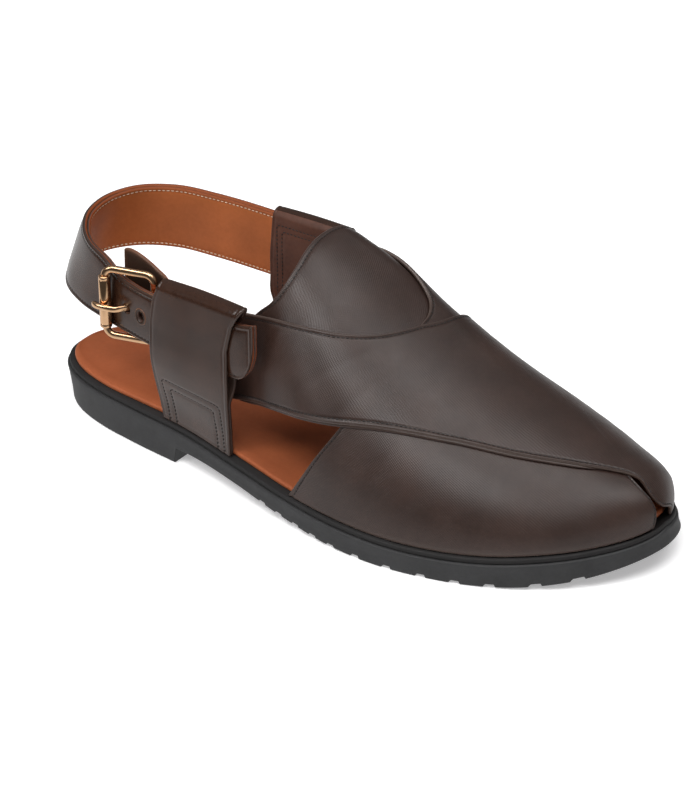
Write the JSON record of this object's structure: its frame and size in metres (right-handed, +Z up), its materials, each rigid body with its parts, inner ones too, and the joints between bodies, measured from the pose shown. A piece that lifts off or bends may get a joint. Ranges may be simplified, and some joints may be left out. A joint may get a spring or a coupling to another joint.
{
  "type": "peshawari chappal",
  "caption": "Right leather peshawari chappal: crossed forefoot bands over a tongue, buckled heel strap held in side loops, low-heeled rubber sole.",
  "frame": {"origin": "on the floor, under the middle of the box round the whole shoe", "axes": "+X from the heel to the toe, +Y to the medial side, +Z up from the floor"},
  "size_m": [0.2912, 0.108, 0.1047],
  "materials": {
    "black_rubber": "matt black moulded rubber",
    "black_midsole": "black dyed leather board",
    "tan_leather": "tan lining leather, satin",
    "grained_leather": "dark brown leather with a fine crossed grain, satin",
    "polished_leather": "smooth dark brown leather, polished",
    "brass": "polished"
  },
  "bodies": {
    "root": {"outsole": "black_rubber", "midsole": "black_midsole", "insole": "tan_leather", "upper": "grained_leather", "tongue": "grained_leather", "quarter_strap_lateral": "polished_leather", "quarter_strap_medial": "polished_leather", "heel_strap": "polished_leather", "guard_flap": "polished_leather", "buckle_frame": "brass", "buckle_roller": "brass", "buckle_prong": "brass"}
  },
  "joints": []
}
